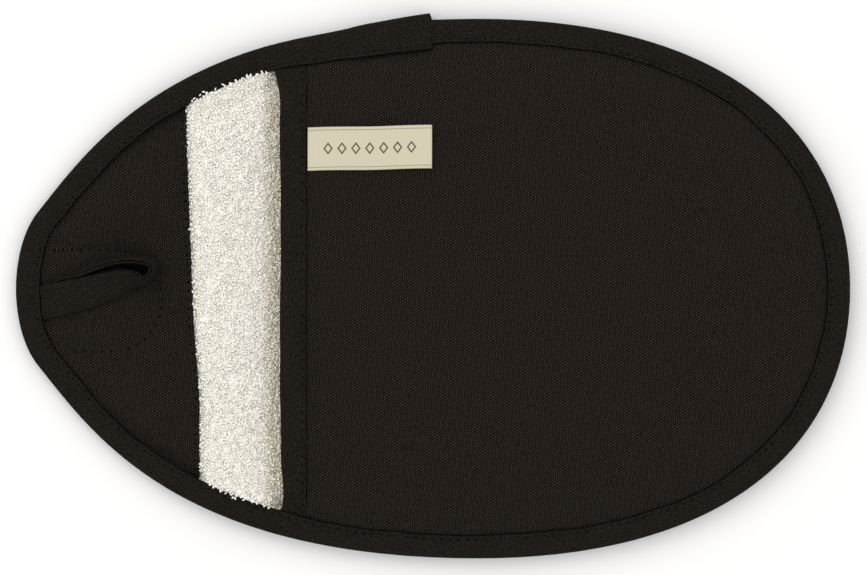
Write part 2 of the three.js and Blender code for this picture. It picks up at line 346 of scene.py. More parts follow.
def finish_piece(piece, material, body, slot, *nodes):
    """Gives a piece its material, its CAD body and the CAD nodes it stands for; its slot is not
    used.
    """
    piece.data.materials.clear()
    piece.data.materials.append(material_of(material))
    piece.data.shade_smooth()
    if body:
        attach(piece, body)
    if nodes:
        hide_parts(*nodes)


def piece_from(bm, name):
    """A new object with the bmesh's shape."""
    mesh = bpy.data.meshes.new(name)
    bm.to_mesh(mesh)
    bm.free()
    piece = bpy.data.objects.new(name, mesh)
    bpy.context.scene.collection.objects.link(piece)
    return piece


def subdivide(piece):
    modifier = piece.modifiers.new("Rounding", "SUBSURF")
    modifier.levels = 1
    modifier.render_levels = 1


def thicken(piece, thickness):
    """Gives a sheet its thickness below the side that it shows."""
    modifier = piece.modifiers.new("Thickness", "SOLIDIFY")
    modifier.thickness = thickness
    modifier.offset = -1
    modifier.use_even_offset = False


def finish_canvas(piece, sizes, node):
    """Gives a sheet of canvas its thickness, its rounded surface and its looks."""
    thicken(piece, sizes.canvas_thickness)
    subdivide(piece)
    finish_piece(piece, CANVAS, "mitt", "canvas", node)


def cut_sheet(every, cell, trims=(), turn=0.0, anchor=(0, 0)):
    """A flat layer cut to the outline, taken at every few points, and to trim planes (point,
    side cut off), and ruled into squares."""
    rim = RIM.inset(LAYER_INSET)[::every]
    bm = bmesh.new()
    bmesh.ops.contextual_create(bm, geom=[bm.verts.new((x, y, 0)) for x, y in rim])

    def cut(point, normal, **options):
        everything = bm.verts[:] + bm.edges[:] + bm.faces[:]
        bmesh.ops.bisect_plane(
            bm, geom=everything, dist=1e-6, plane_co=point, plane_no=normal, **options
        )

    for point, away in trims:
        cut(point, away, clear_outer=True)
    for angle in (turn, turn + math.pi / 2):
        across = Vector((math.cos(angle), math.sin(angle), 0))
        start = Vector((*anchor, 0)).dot(across)
        reach = [v.co.dot(across) for v in bm.verts]
        first = math.ceil((min(reach) - start) / cell)
        for k in range(first, math.floor((max(reach) - start) / cell) + 1):
            cut(across * (start + k * cell), across)
    bmesh.ops.remove_doubles(bm, verts=bm.verts[:], dist=cell * 0.24)
    if sum(f.normal.z for f in bm.faces) < 0:
        bmesh.ops.reverse_faces(bm, faces=bm.faces[:])
    return bm


def drape(bm, surface, height, rounds):
    """Lays a sheet on a surface's top or underside and eases out the facets."""
    for v in bm.verts:
        v.co.z = height(surface, v.co.x, v.co.y)
    inner = [v for v in bm.verts if not v.is_boundary]
    for _ in range(rounds):
        bmesh.ops.smooth_vert(bm, verts=inner, factor=0.5, use_axis_z=True)


def two_sided(bm):
    """Doubles a sheet into a closed pad, and gives its points below and above."""
    under = bm.verts[:]
    made = bmesh.ops.extrude_face_region(bm, geom=bm.faces[:], use_keep_orig=True)
    return under, [g for g in made["geom"] if isinstance(g, bmesh.types.BMVert)]


def settle(piece, seam, sizes, rise):
    """Lets a sheet settle as cloth over its filling, held where seam says, up to a rise."""
    scene = bpy.context.scene
    start = np.array([v.co for v in piece.data.vertices])
    group = piece.vertex_groups.new(name="seam")
    for k, v in enumerate(piece.data.vertices):
        group.add([k], seam(v.co.x, v.co.y), "REPLACE")
    cloth = piece.modifiers.new("Cloth", "CLOTH")
    cloth.settings.quality = 5
    cloth.settings.mass = 0.2
    cloth.settings.tension_stiffness = 12
    cloth.settings.compression_stiffness = 12
    cloth.settings.bending_stiffness = 0.4
    cloth.settings.vertex_group_mass = group.name
    cloth.settings.shrink_min = -sizes.surplus
    cloth.settings.use_pressure = True
    cloth.settings.uniform_pressure_force = sizes.pressure
    cloth.settings.effector_weights.gravity = 0
    cloth.collision_settings.use_collision = False
    cloth.point_cache.frame_end = sizes.cloth_steps
    for step in range(1, sizes.cloth_steps + 1):
        scene.frame_set(step)
    settled = piece.evaluated_get(bpy.context.evaluated_depsgraph_get()).to_mesh()
    moved = np.nan_to_num(np.array([v.co for v in settled.vertices]) - start)
    moved[:, :2] = np.clip(moved[:, :2], -0.5 * MM, 0.5 * MM)
    moved[:, 2] = np.clip(moved[:, 2], -0.2 * MM, rise)
    piece.modifiers.remove(cloth)
    piece.vertex_groups.remove(group)
    piece.data.vertices.foreach_set("co", (start + moved).ravel())
    piece.data.update()
    scene.frame_set(1)


def move_points(piece, shift):
    """Moves each point of a piece by shift(x, y, z)."""
    for v in piece.data.vertices:
        v.co = v.co + Vector(shift(*v.co))
    piece.data.update()


def valley(past):
    """How far canvas is drawn down beside a sewn tape, from how far past the tape it is."""
    return -0.6 * MM * math.exp(-(((past + 0.1 * MM) / (1.3 * MM)) ** 2))


def even_grid(rows, columns, uv_at):
    """A grid over 0 to 1 both ways, with a UV map in metres."""
    bm = bmesh.new()
    bmesh.ops.create_grid(bm, x_segments=rows, y_segments=columns, size=0.5, calc_uvs=True)
    uv = bm.loops.layers.uv.verify()
    for face in bm.faces:
        for loop in face.loops:
            loop[uv].uv = uv_at(loop.vert.co.x + 0.5, loop.vert.co.y + 0.5)
    return bm


def tube_grid(name, points, length, closed=(False, True), shaded=()):
    """A grid bent into a tape through rows of points; its UV map is in metres of tape, and its
    columns in shaded are marked for painted shade.
    """
    points = np.asarray(points)
    rows, columns = points.shape[0] - 1, points.shape[1] - 1
    gaps = np.linalg.norm(np.diff(points, axis=1), axis=2)
    around = np.cumsum(np.pad(gaps, ((0, 0), (1, 0))), axis=1)

    def uv_at(u, v):
        return u * length, around[round(u * rows), round(v * columns)]

    bm = even_grid(rows, columns, uv_at)
    # Painted shade: a mark that the materials darken, here on the turned edge's columns.
    painted_shade = bm.verts.layers.float.new("painted_shade")
    for v in bm.verts:
        column = round((v.co.y + 0.5) * columns)
        v.co = points[round((v.co.x + 0.5) * rows), column]
        v[painted_shade] = float(column in shaded)
    bmesh.ops.remove_doubles(bm, verts=bm.verts[:], dist=1e-7)
    if not all(closed):
        bmesh.ops.holes_fill(bm, edges=[e for e in bm.edges if e.is_boundary], sides=0)
    bmesh.ops.recalc_face_normals(bm, faces=bm.faces[:])
    return piece_from(bm, name)


def fold(deep, depth, low, high, count, roundness, backwards=False):
    """A tape's rounded fold as (depth, height), from its low side to its high side or back."""
    angles = np.linspace(-math.pi / 2, math.pi / 2, count)
    angles = angles[::-1] if backwards else angles
    middle, half = (low + high) / 2, (high - low) / 2
    return [
        (
            deep - depth * abs(math.cos(a)) ** roundness,
            middle + half * math.copysign(abs(math.sin(a)) ** roundness, a),
        )
        for a in angles
    ]


def needle_pull(sizes, holes):
    """How far the stitches pull the tape in, most at the needle holes."""
    return sizes.dimple * (0.35 + 0.65 * np.cos(math.pi * holes) ** 8)


def scatter(shape, places, name, tones=None):
    """One mesh of many copies of a small shape, one for each 4 x 4 place."""
    one = piece_from(shape, name)
    base = np.array([v.co for v in one.data.vertices])
    row = one.modifiers.new("Row", "ARRAY")
    row.count = len(places)
    row.use_relative_offset = False
    row.use_constant_offset = True
    row.constant_offset_displace = (0, 0, 0)
    bake_modifiers(one)
    mesh = one.data
    places = np.array([np.array(m) for m in places])
    points = np.einsum("nij,vj->nvi", places[:, :3, :3], base) + places[:, None, :3, 3]
    mesh.vertices.foreach_set("co", points.ravel())
    if tones is not None:
        tone = mesh.attributes.new("tone", "FLOAT", "POINT")
        tone.data.foreach_set("value", np.repeat(tones, len(base)))
    mesh.update()
    return one


def join_pieces(main, other):
    """Adds another piece's mesh to a piece."""
    bm = bmesh.new()
    bm.from_mesh(main.data)
    bm.from_mesh(other.data)
    bm.to_mesh(main.data)
    bm.free()
    bpy.data.objects.remove(other)


def bake_modifiers(piece):
    """Replaces a piece's mesh by the mesh that its modifiers give."""
    bpy.context.view_layer.update()
    depsgraph = bpy.context.evaluated_depsgraph_get()
    mesh = bpy.data.meshes.new_from_object(piece.evaluated_get(depsgraph))
    piece.modifiers.clear()
    piece.data = mesh


# Stitches


def stitch_shape(sizes, reach, with_hole_shade=True):
    """One stitch: a short arched length of thread along X, and a flat dark disc of painted shade at
    the needle hole it goes into.
    """
    bm = bmesh.new()
    bend = reach * 0.95
    bmesh.ops.create_circle(bm, cap_ends=True, segments=6, radius=sizes.thread_width / 2)
    bmesh.ops.rotate(bm, verts=bm.verts[:], matrix=Matrix.Rotation(math.pi / 2, 3, "Y"))
    sweep = reach / bend
    bmesh.ops.rotate(bm, verts=bm.verts[:], matrix=Matrix.Rotation(-sweep / 2, 3, "Y"))
    arm = Vector((-math.sin(sweep / 2), 0, math.cos(sweep / 2) - 1)) * bend
    bmesh.ops.translate(bm, verts=bm.verts[:], vec=arm)
    along = {"cent": (0, 0, -bend), "axis": (0, 1, 0), "angle": sweep, "steps": 4}
    bmesh.ops.spin(bm, geom=bm.faces[:], use_duplicate=False, **along)
    if with_hole_shade:
        # Painted shade: a flattened ball at the needle hole, marked to be painted near black.
        painted_shade = bm.verts.layers.float.new("painted_shade")
        hole_shade = bmesh.ops.create_icosphere(bm, subdivisions=1, radius=sizes.thread_width * 1.05)
        for v in hole_shade["verts"]:
            v[painted_shade] = 1.0
        bmesh.ops.scale(bm, verts=hole_shade["verts"], vec=(1.15, 1, 0.3))
        bmesh.ops.translate(bm, verts=hole_shade["verts"], vec=(-sizes.stitch_pitch / 2, 0, 0.02 * MM))
    bmesh.ops.recalc_face_normals(bm, faces=bm.faces[:])
    return bm


def stitch_place(start, end, up):
    """The place of the stitch between two needle holes."""
    ahead = (end - start).normalized()
    side = up.cross(ahead).normalized()
    turn = Matrix((ahead, side, ahead.cross(side))).transposed().to_4x4()
    return Matrix.Translation((start + end) / 2) @ turn


def stitch_places(points, normals, pitch):
    """Places for stitches along a run of 3-D points, one for each pitch."""
    along = run_lengths(points)
    count = max(1, round(along[-1] / pitch))
    holes = np.arange(count + 1) * along[-1] / count
    spots = [Vector(spot) for spot in read_run(points, along, holes)]
    ups = [Vector(up) for up in read_run(normals, along, (holes[1:] + holes[:-1]) / 2)]
    return [stitch_place(*ends) for ends in zip(spots[:-1], spots[1:], ups)]


def sewn_spots(surface, path, above):
    """Where a flat path meets a surface's top or underside, and the surface's normals there."""
    start, way = (RAY_START, DOWN) if above else (-RAY_START, UP)
    spots, normals = [], []
    for x, y in path:
        spot, normal, _, _ = surface.ray_cast(Vector((x, y, start)), way)
        if spot is not None:
            normals.append(normal if normal.z * way.z < 0 else -normal)
            spots.append(spot + normals[-1] * STITCH_LIFT)
    return spots, normals


def pouch_path(count):
    """Evenly spaced points on the D-shaped line round the magnet's pouch."""
    x, y = POUCH_CENTRE
    radius = POUCH_RADIUS
    first, last = POUCH_STARTS
    path = [(first + (x - first) * k / 12, y + radius) for k in range(12)]
    for a in np.linspace(math.pi / 2, -math.pi / 2, 40):
        path.append((x + radius * math.cos(a), y + radius * math.sin(a)))
    path += [(x + (last - x) * k / 10, y - radius) for k in range(1, 11)]
    along = run_lengths(path)
    return read_run(path, along, np.linspace(0, along[-1], count))


def facing_bow(y):
    """How far the facing's edge bows out of straight at a Y value."""
    return 1.2 * MM * math.exp(-(((y + 38 * MM) / (16 * MM)) ** 2))


def facing_edge(inset, y):
    """X of the facing's turned edge, or of a line inside it, at a Y value."""
    return FACING_X + facing_bow(y) - inset - math.tan(FACING_LEAN) * y


# Materials


def fill(tree, node, inputs):
    """Sets or links a node's inputs, which are values or sockets, in order or by name."""
    for key, value in inputs.items() if isinstance(inputs, dict) else enumerate(inputs):
        if isinstance(value, bpy.types.NodeSocket):
            tree.links.new(value, node.inputs[key])
        else:
            node.inputs[key].default_value = value


def add(tree, kind, inputs=(), output=0, **settings):
    """Adds a shader node with its settings and links, and gives one of its outputs."""
    node = tree.nodes.new("ShaderNode" + kind)
    for key, value in settings.items():
        setattr(node, key, value)
    fill(tree, node, inputs)
    return node.outputs[output]


def plain_weave(tree, vector, warp_pitch, weft_pitch, skew=0.0):
    """Height of a plain weave, 0 to 1: a checker of warp over weft, on upright warp ribs."""
    pitches = (math.pi / warp_pitch, math.pi / weft_pitch, 1)
    ruled = add(tree, "Mapping", {"Vector": vector, "Rotation": (0, 0, skew), "Scale": pitches})
    drift = add(tree, "TexNoise", {"Vector": vector, "Scale": 260.0, "Detail": 2.0}, "Color")
    shaken = add(tree, "VectorMath", (drift, (1.4, 1.4, 0), ruled), operation="MULTIPLY_ADD")
    warp, weft = (
        add(tree, "Math", (add(tree, "SeparateXYZ", (shaken,), axis),), operation="SINE")
        for axis in "XY"
    )
    over = add(tree, "Math", (warp, weft), operation="MULTIPLY")
    checker = add(tree, "Math", (over, 0.29, 0.29), operation="MULTIPLY_ADD")
    ribs = add(tree, "Math", (warp,), operation="ABSOLUTE")
    return add(tree, "Math", (ribs, 0.42, checker), operation="MULTIPLY_ADD")


def shade(tree, factor, low, high, spots, start=0.2):
    """A ramp between two colours by a height, painted shade at its low end and painted light at its
    high end, the light end dimmed in spots.
    """
    ramp = add(tree, "MapRange", (factor, start, 0.95, 0.0, 1.0))
    share = add(tree, "Math", (ramp, spots), operation="MULTIPLY")
    ends = {"Factor": share, "A": (*low, 1), "B": (*high, 1)}
    return add(tree, "Mix", ends, "Result", data_type="RGBA")


def finish_surface(tree, colour, shader, height=None, depth=0.0, strength=0.0):
    """Gives the shader its colour, its values and a relief of a depth in metres."""
    shader = {"Base Color": colour, **shader}
    if height:
        relief = {"Height": height, "Distance": depth, "Strength": strength}
        shader["Normal"] = add(tree, "Bump", relief)
    fill(tree, tree.nodes["Principled BSDF"], shader)


def make_canvas(tree, place, sizes, colours):
    """Plain-woven cotton canvas, dyed black: matt, its raised threads painted lighter and its
    hollows darker, as painted light and shade.
    """
    weave = plain_weave(tree, place, sizes.canvas_warp, sizes.canvas_weft, CANVAS_SKEW)
    lint = add(tree, "TexNoise", {"Vector": place, "Scale": 900.0, "Detail": 3.0})
    slub = add(tree, "MapRange", (lint, 0.32, 0.68, 0.6, 1.35))
    colour = shade(tree, weave, colours.canvas, colours.canvas_light, slub, 0.42)
    shader = {"Roughness": 0.9, "Specular IOR Level": 0.02}
    shader.update({"Sheen Weight": 0.03, "Sheen Roughness": 0.5})
    finish_surface(tree, colour, shader, weave, 0.22 * MM, 0.7)


def make_tape(tree, place, sizes, colours):
    """Fine twill cotton tape, dyed black: smoother than canvas, its raised ribs painted lighter,
    and painted dark down its turned edge as its own shade.
    """
    turned = add(tree, "Mapping", {"Vector": place, "Rotation": (0, 0, TWILL_TURN)})
    across = add(tree, "SeparateXYZ", (turned,))
    phase = add(tree, "Math", (across, 2 * math.pi / sizes.tape_twill), operation="MULTIPLY")
    fuzz = add(tree, "TexNoise", {"Vector": place, "Scale": 1400.0, "Detail": 4.0})
    shaken = add(tree, "Math", (fuzz, 9.0, phase), operation="MULTIPLY_ADD")
    wave = add(tree, "Math", (shaken,), operation="SINE")
    rib = add(tree, "Math", (wave, 0.16, 0.16), operation="MULTIPLY_ADD")
    nap = add(tree, "MapRange", (fuzz, 0.3, 0.7, 0.0, 0.68))
    grain = add(tree, "Math", (nap, rib), operation="ADD")
    broad = add(tree, "TexNoise", {"Vector": place, "Scale": 160.0, "Detail": 2.0})
    spots = add(tree, "Math", (broad, 0.8, 0.6), operation="MULTIPLY_ADD")
    # Painted light and shade: raised ribs lighter, hollows darker, the light end dimmed at random
    # in spots.
    rib_light_and_wear = shade(tree, grain, colours.tape, colours.tape_light, spots)
    # Painted shade: the turned edge is darkened to a tenth of the tape's colour.
    painted_shade = add(tree, "Attribute", output="Fac", attribute_name="painted_shade")
    ends = {"Factor": painted_shade, "A": rib_light_and_wear, "B": dimmed(colours.tape, 0.1)}
    colour = add(tree, "Mix", ends, "Result", data_type="RGBA")
    shader = {"Roughness": 0.85, "Specular IOR Level": 0.03}
    finish_surface(tree, colour, shader, grain, 0.08 * MM, 0.6)


def make_terry(tree, place, sizes, colours):
    """Unbleached cotton terry yarn: soft, matt, each loop a slightly different tone, with painted
    shade towards the pocket's mouth.
    """
    tone = add(tree, "Attribute", output="Fac", attribute_name="tone")
    patch = add(tree, "TexNoise", {"Vector": place, "Scale": 70.0, "Detail": 2.0})
    toned = add(tree, "Math", (tone, 0.6), operation="MULTIPLY")
    mixed = add(tree, "Math", (patch, 0.5, toned), operation="MULTIPLY_ADD")
    ends = {"Factor": mixed, "A": (*colours.terry_deep, 1), "B": (*colours.terry, 1)}
    yarn = add(tree, "Mix", ends, "Result", data_type="RGBA")
    # Painted shade: towards the pocket's mouth the loops are mixed with a darker tan, for the
    # mouth's shade, each by a share that falls as its random tone rises.
    near = add(tree, "MapRange", (add(tree, "SeparateXYZ", (place,)), -62 * MM, -57.5 * MM))
    loop_shade_share = add(tree, "Math", (tone, -0.7, 0.7), operation="MULTIPLY_ADD")
    mouth_shade = add(tree, "Math", (near, loop_shade_share), operation="MULTIPLY")
    ends = {"Factor": mouth_shade, "A": yarn, "B": (*colours.terry_mouth_shade, 1)}
    colour = add(tree, "Mix", ends, "Result", data_type="RGBA")
    twist = add(tree, "TexNoise", {"Vector": place, "Scale": 2600.0, "Detail": 2.0})
    shader = {"Roughness": 0.95, "Specular IOR Level": 0.15}
    shader.update({"Sheen Weight": 0.1, "Sheen Roughness": 0.6})
    finish_surface(tree, colour, shader, twist, 0.12 * MM, 0.5)


def make_wadding(tree, place, sizes, colours):
    """Needled cotton wadding: off-white, felted, with small needle pits."""
    felt = add(tree, "TexNoise", {"Vector": place, "Scale": 500.0, "Detail": 5.0})
    pits = add(tree, "TexVoronoi", {"Vector": place, "Scale": 420.0}, "Distance")
    ends = {"Factor": felt, "A": dimmed(colours.wadding, 0.8), "B": (*colours.wadding, 1)}
    colour = add(tree, "Mix", ends, "Result", data_type="RGBA")
    height = add(tree, "Math", (pits, 0.5, felt), operation="MULTIPLY_ADD")
    shader = {"Roughness": 1.0, "Specular IOR Level": 0.1}
    finish_surface(tree, colour, shader, height, 0.4 * MM, 0.7)


def make_label(tree, place, sizes, colours):
    """Damask-woven cotton ribbon: cream, slightly glossy, with a plain row of diamonds."""
    weave = plain_weave(tree, place, 0.55 * MM, 0.55 * MM)
    along, across = (add(tree, "SeparateXYZ", (place,), axis) for axis in "XY")
    # Seven diamonds 5 mm apart, 3.4 mm long and 4.4 mm high, in the middle of the ribbon.
    pitch = 5.0 * MM
    row = 3.5 * pitch
    shifted = add(tree, "Math", (along, LABEL_LENGTH / 2 - row), operation="SUBTRACT")
    inside = add(tree, "Math", (shifted, row, row), operation="COMPARE")
    fold = add(tree, "Math", (shifted, pitch / 2), operation="PINGPONG")
    from_middle = add(tree, "Math", (pitch / 2, fold), operation="SUBTRACT")
    off = add(tree, "Math", (across, LABEL_DEPTH / 2), operation="SUBTRACT")
    side = add(tree, "Math", (off,), operation="ABSOLUTE")
    long_share = add(tree, "Math", (from_middle, 1.7 * MM), operation="DIVIDE")
    high_share = add(tree, "Math", (side, 2.2 * MM), operation="DIVIDE")
    span = add(tree, "Math", (long_share, high_share), operation="ADD")
    outline = add(tree, "Math", (span, 0.82, 0.2), operation="COMPARE")
    diamond = add(tree, "Math", (outline, inside), operation="MULTIPLY")
    edge = LABEL_DEPTH / 2 - 1.1 * MM
    border = add(tree, "Math", (side, edge, 0.16 * MM), operation="COMPARE")
    faint = add(tree, "Math", (border, 0.55), operation="MULTIPLY")
    mark = add(tree, "Math", (diamond, faint), operation="MAXIMUM")
    # Painted shade: the weave's hollows are a fifth darker.
    ends = {"Factor": weave, "A": dimmed(colours.label, 0.8), "B": (*colours.label, 1)}
    ground = add(tree, "Mix", ends, "Result", data_type="RGBA")
    ends = {"Factor": mark, "A": ground, "B": (*colours.label_mark, 1)}
    colour = add(tree, "Mix", ends, "Result", data_type="RGBA")
    height = add(tree, "Math", (mark, 0.4, weave), operation="MULTIPLY_ADD")
    shader = {"Roughness": 0.7, "Specular IOR Level": 0.25}
    shader.update({"Sheen Weight": 0.05, "Sheen Roughness": 0.4})
    finish_surface(tree, colour, shader, height, 0.1 * MM, 0.6)


def make_thread(tree, place, sizes, colours):
    """Spun polyester sewing thread: black, with a slight shine on its twist, and painted shade on
    the discs at its needle holes.
    """
    twist = add(tree, "TexNoise", {"Vector": place, "Scale": 4200.0, "Detail": 1.0})
    painted_shade = add(tree, "Attribute", output="Fac", attribute_name="painted_shade")
    ends = {"Factor": twist, "A": (*colours.thread, 1), "B": dimmed(colours.thread, 2.2)}
    strand = add(tree, "Mix", ends, "Result", data_type="RGBA")
    # Painted shade: the needle holes' discs are darkened to a tenth of the thread's colour.
    ends = {"Factor": painted_shade, "A": strand, "B": dimmed(colours.thread, 0.1)}
    colour = add(tree, "Mix", ends, "Result", data_type="RGBA")
    shader = {"Roughness": 0.7, "Specular IOR Level": 0.06}
    finish_surface(tree, colour, shader, twist, 0.06 * MM, 0.7)


def make_nickel(tree, place, sizes, colours):
    """Nickel-plated steel, barrel-plated: a soft grey shine with fine scuffs."""
    scuff = add(tree, "TexNoise", {"Vector": place, "Scale": 800.0, "Detail": 4.0})
    rough = add(tree, "MapRange", (scuff, 0.0, 1.0, 0.28, 0.5))
    ends = {"Factor": scuff, "A": dimmed(colours.plating, 0.85), "B": (*colours.plating, 1)}
    colour = add(tree, "Mix", ends, "Result", data_type="RGBA")
    finish_surface(tree, colour, {"Metallic": 1.0, "Roughness": rough})


def make_paper(tree, place, sizes, colours):
    """White cartridge paper, pressed smooth: matt, and almost even."""
    pulp = add(tree, "TexNoise", {"Vector": place, "Scale": 60.0})
    ends = {"Factor": pulp, "A": (*linear("#e7e6e4"), 1), "B": (*linear("#e9e8e6"), 1)}
    tint = add(tree, "Mix", ends, "Result", data_type="RGBA")
    finish_surface(tree, tint, {"Roughness": 1.0, "Specular IOR Level": 0.0})


CANVAS = "black_canvas_woven"
TAPE = "black_tape_twill_woven"
TERRY = "cream_terry_looped"
RIBBON = "cream_ribbon_damask_woven"
THREAD = "black_polyester_thread_spun"
MAKERS = {
    CANVAS: make_canvas,
    TAPE: make_tape,
    TERRY: make_terry,
    RIBBON: make_label,
    THREAD: make_thread,
    "white_wadding_needled": make_wadding,
    "nickel_plated_steel": make_nickel,
    "white_paper_backdrop": make_paper,
}


def material_of(name):
    """The named material, made on first use."""
    if name not in bpy.data.materials:
        material = bpy.data.materials.new(name)
        material.use_nodes = True
        scene = bpy.context.scene
        tree = material.node_tree
        follows_tape = name in (TAPE, RIBBON)
        place = add(tree, "UVMap") if follows_tape else add(tree, "TexCoord", output="Object")
        MAKERS[name](tree, place, scene.mitt_sizes, scene.mitt_colours)
    return bpy.data.materials[name]


# Operators


class MittPiece:
    """What every operator here shares"""

    bl_options = {"REGISTER", "UNDO"}

    @property
    def sizes(self):
        return bpy.context.scene.mitt_sizes


class MITT_OT_back_cover(MittPiece, bpy.types.Operator):
    """Lay the canvas under the back pad"""

    bl_idname = "mitt.back_cover"
    bl_label = "Back Cover"

    def execute(self, context):
        bm = cut_sheet(4, 3 * MM)
        drape(bm, surface_of_frame("back_canvas"), underside_of, 4)
        bmesh.ops.reverse_faces(bm, faces=bm.faces[:])
        piece = piece_from(bm, "back_cover")
        finish_canvas(piece, self.sizes, "back_canvas")
        return {"FINISHED"}


class MITT_OT_wadding(MittPiece, bpy.types.Operator):
    """Fill the back pad and the pocket front with wadding"""

    bl_idname = "mitt.wadding"
    bl_label = "Wadding"

    def execute(self, context):
        for name, node, trims in (
            ("back_wadding_felt", "back_wadding", ()),
            ("front_wadding_felt", "front_wadding", (MOUTH_TRIM,)),
        ):
            shape = surface_of_frame(node)
            bm = cut_sheet(5, 4 * MM, trims)
            under, over = two_sided(bm)
            for v in over:
                v.co.z = top_of(shape, v.co.x, v.co.y)
            for v in under:
                v.co.z = underside_of(shape, v.co.x, v.co.y)
            bmesh.ops.recalc_face_normals(bm, faces=bm.faces[:])
            piece = piece_from(bm, name)
            subdivide(piece)
            finish_piece(piece, "white_wadding_needled", "mitt", "wadding", node)
        return {"FINISHED"}


class MITT_OT_magnet(MittPiece, bpy.types.Operator):
    """Lay the disc magnet in its pouch"""

    bl_idname = "mitt.magnet"
    bl_label = "Magnet"

    def execute(self, context):
        low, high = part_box("tip_magnet")
        bm = bmesh.new()
        disc = {"radius1": (high.x - low.x) / 2, "radius2": (high.x - low.x) / 2}
        bmesh.ops.create_cone(bm, cap_ends=True, segments=64, depth=high.z - low.z, **disc)
        rims = [e for e in bm.edges if len({round(v.co.z, 6) for v in e.verts}) == 1]
        bmesh.ops.bevel(
            bm, geom=rims, offset=0.3 * MM, segments=3, profile=0.5, affect="EDGES", material=-1
        )
        bmesh.ops.translate(bm, verts=bm.verts[:], vec=(low + high) / 2)
        piece = piece_from(bm, "disc_magnet")
        finish_piece(piece, "nickel_plated_steel", "mitt", "magnet", "tip_magnet")
        return {"FINISHED"}


def pile_places(sizes, ground):
    """Places and tones for terry loops over the open strip, leaning every way."""
    rng = np.random.default_rng(11)
    places, tones = [], []
    for y in np.arange(-STRIP_REACH, STRIP_REACH, sizes.pile_pitch):
        for x in np.arange(*STRIP_ENDS, sizes.pile_pitch):
            px, py = np.array((x, y)) + rng.uniform(-0.45, 0.45, 2) * sizes.pile_pitch
            z = ground(px, py, rng)
            if z is None:
                continue
            turn = Matrix.Rotation(rng.uniform(0, 2 * math.pi), 4, "Z")
            tilt = Matrix.Rotation(rng.normal(0, 0.5), 4, "X")
            lean = Matrix.Rotation(rng.normal(0, 0.3), 4, "Y")
            size = Matrix.Diagonal((*rng.uniform(0.8, 1.25, 3), 1))
            places.append(Matrix.Translation((px, py, z)) @ turn @ tilt @ lean @ size)
            tones.append(rng.uniform(0, 1))
    return places, np.array(tones)


def pile_shape(sizes):
    """One terry loop: a bent length of yarn with its feet in the ground cloth."""
    bm = bmesh.new()
    radius = sizes.yarn / 2
    bow = sizes.pile_pitch * 0.42
    bmesh.ops.create_circle(bm, cap_ends=True, segments=3, radius=radius)
    bmesh.ops.translate(bm, verts=bm.verts[:], vec=(bow, 0, 0))
    around = {"cent": (0, 0, 0), "axis": (0, -1, 0), "angle": math.pi, "steps": 4}
    bmesh.ops.spin(bm, geom=bm.faces[:], use_duplicate=False, **around)
    bmesh.ops.recalc_face_normals(bm, faces=bm.faces[:])
    tall = (sizes.pile_height - radius) / bow
    bmesh.ops.scale(bm, verts=bm.verts[:], vec=(1, 1, tall))
    bmesh.ops.translate(bm, verts=bm.verts[:], vec=(0, 0, -0.25 * MM))
    return bm


class MITT_OT_terry(MittPiece, bpy.types.Operator):
    """Line the back pad and the pocket front with terry"""

    bl_idname = "mitt.terry"
    bl_label = "Terry Linings"

    def execute(self, context):
        sizes = self.sizes
        drop = sizes.pile_height * 0.62  # of the ground cloth below the frame's plain solid
        rims = surface_of_frame("edge_binding")
        spare = past_tape(sizes)

        def rise(x, y, base):
            """How far the lining rises to the binding beside it, in the open strip."""
            near = 1 - steps(0.2, 8, spare(x, y) / MM)
            near *= steps(0.2, 2.5, (x - facing_edge(0, y)) / MM)
            near *= 1 - steps(-58.5, -55.5, x / MM)  # level again under the pocket's mouth
            if near == 0:
                return 0.0
            k = RIM.tree.find((x, y, 0))[1]
            px, py = RIM.points[k] - RIM.outward[k] * 5 * MM
            return max(0.0, top_of(rims, px, py) - 0.85 * MM - base) * float(near)

        back = self.ground("back_lining", "back_terry", (), -drop, 2.6 * MM, False, rise)
        surface = surface_of("back_lining")

        def ground(x, y, rng):
            """Height that a loop stands on, if it stands in the open strip."""
            into_tip = facing_edge(0, y) - x
            clear = spare(x, y)
            ragged = rng.uniform(-1.2, 0.2) * MM * (1 - float(steps(-57, -55, x / MM)))
            if into_tip > -4 * MM:  # the corner beside the facing is full
                ragged = -1.0 * MM
            if clear < ragged or into_tip > rng.uniform(-0.1, 0.5) * MM:
                return None
            # Loops at the binding and at the facing lap a little over their edges.
            lap = 0.4 * MM * (1 - float(steps(-0.3, 1.2, clear / MM)))
            lap = max(lap, 0.9 * MM * (1 - float(steps(-0.2 * MM, 1.6 * MM, -into_tip))))
            return top_of(surface, x, y) + lap

        places, tones = pile_places(sizes, ground)
        pile = scatter(pile_shape(sizes), places, "pile", tones)
        join_pieces(back, pile)
        finish_piece(back, TERRY, "mitt", "terry", "back_terry")

        front = self.ground("front_lining", "front_terry", (MOUTH_TRIM,), 0.0, 3.4 * MM, True)
        finish_piece(front, TERRY, "mitt", "terry", "front_terry")
        return {"FINISHED"}

    def ground(self, name, node, trims, drop, cell, rounded, rise=lambda x, y, z: 0.0):
        """The ground cloth of a lining, roughened as its pile is."""
        shape = surface_of_frame(node)
        bm = cut_sheet(4, cell, trims)
        rng = np.random.default_rng(5)
        under, over = two_sided(bm)
        for v in over:
            v.co.z = top_of(shape, v.co.x, v.co.y) + drop + rng.uniform(-0.2, 0.2) * MM
            v.co.z += rise(*v.co)
        for v in under:
            v.co.z = underside_of(shape, v.co.x, v.co.y)
            if not drop:
                v.co.z += rng.uniform(0, 0.35) * MM
        for v in over:
            v.co.z = max(v.co.z, underside_of(shape, v.co.x, v.co.y) + 0.4 * MM)
        bmesh.ops.recalc_face_normals(bm, faces=bm.faces[:])
        piece = piece_from(bm, name)
        if rounded:
            subdivide(piece)
            bake_modifiers(piece)
        return piece


